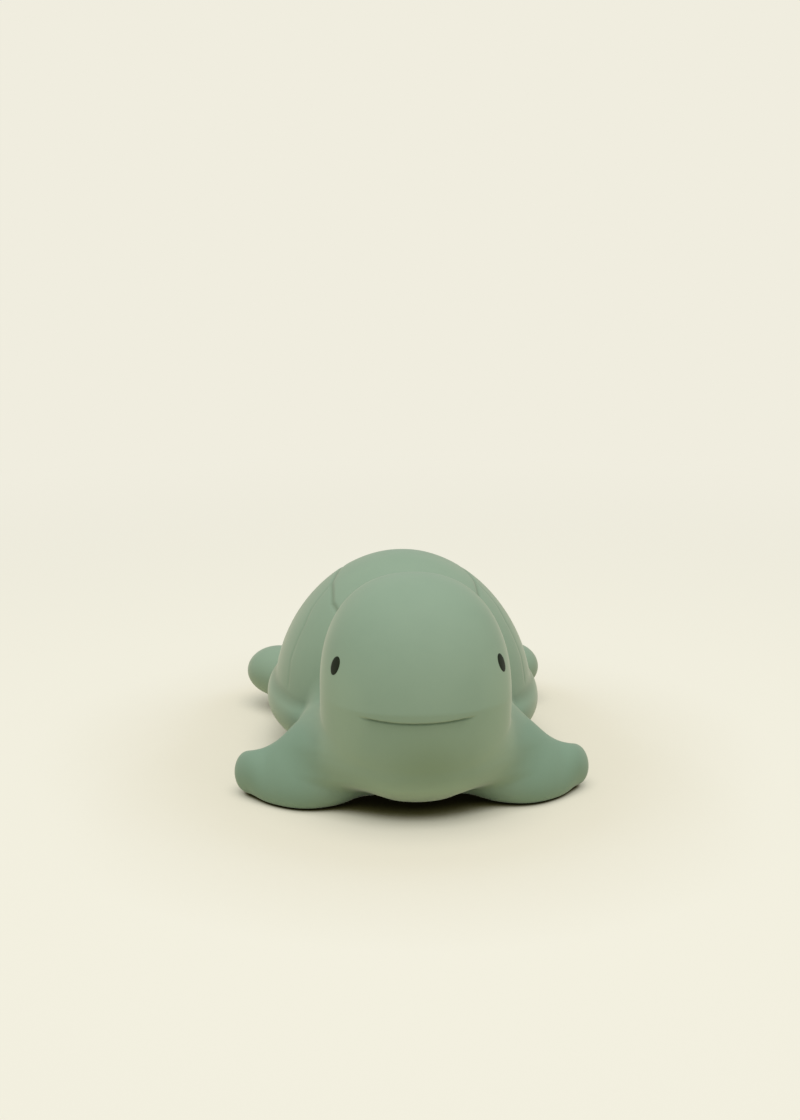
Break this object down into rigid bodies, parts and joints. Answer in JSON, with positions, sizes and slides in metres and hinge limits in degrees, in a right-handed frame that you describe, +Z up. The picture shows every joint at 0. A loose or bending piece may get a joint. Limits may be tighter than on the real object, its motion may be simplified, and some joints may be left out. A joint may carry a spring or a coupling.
{
  "type": "squeaky bath toy",
  "caption": "Hollow rubber sea turtle bath toy with a domed scute shell that presses down, swept flippers, painted eyes and a reed squeaker plugged into its belly.",
  "frame": {"origin": "on the floor under the middle of the toy, half way between snout and rear flippers", "axes": "+X to the turtle's left, +Y from the snout to the tail, +Z up"},
  "size_m": [0.0956, 0.1243, 0.0596],
  "materials": {
    "rubber_skin": "matte, dyed in the mass",
    "eye_paint": "satin paint",
    "squeaker_plastic": "satin",
    "reed_brass": "satin"
  },
  "bodies": {
    "body": {"body_skin": "rubber_skin", "shell_fold": "rubber_skin", "left_eye": "eye_paint", "right_eye": "eye_paint", "squeaker_barrel": "squeaker_plastic", "squeaker_cap": "squeaker_plastic", "reed_block": "squeaker_plastic", "reed_wedge": "squeaker_plastic"},
    "shell": {"carapace": "rubber_skin"},
    "tongue": {"reed": "reed_brass"}
  },
  "joints": [
    {"name": "shell_squeeze", "type": "slide", "parent": "body", "child": "shell", "axis": [0, 0, -1], "range_m": [0, 0.008], "stiffness_N_per_m": 1500, "deforming": ["shell_fold"]},
    {"name": "reed_flutter", "type": "hinge", "parent": "body", "child": "tongue", "pos_m": [0, 0.01296, 0.00415], "axis": [1, 0, 0], "range_deg": [-4, 3], "stiffness_Nm_per_rad": 0.00003}
  ]
}
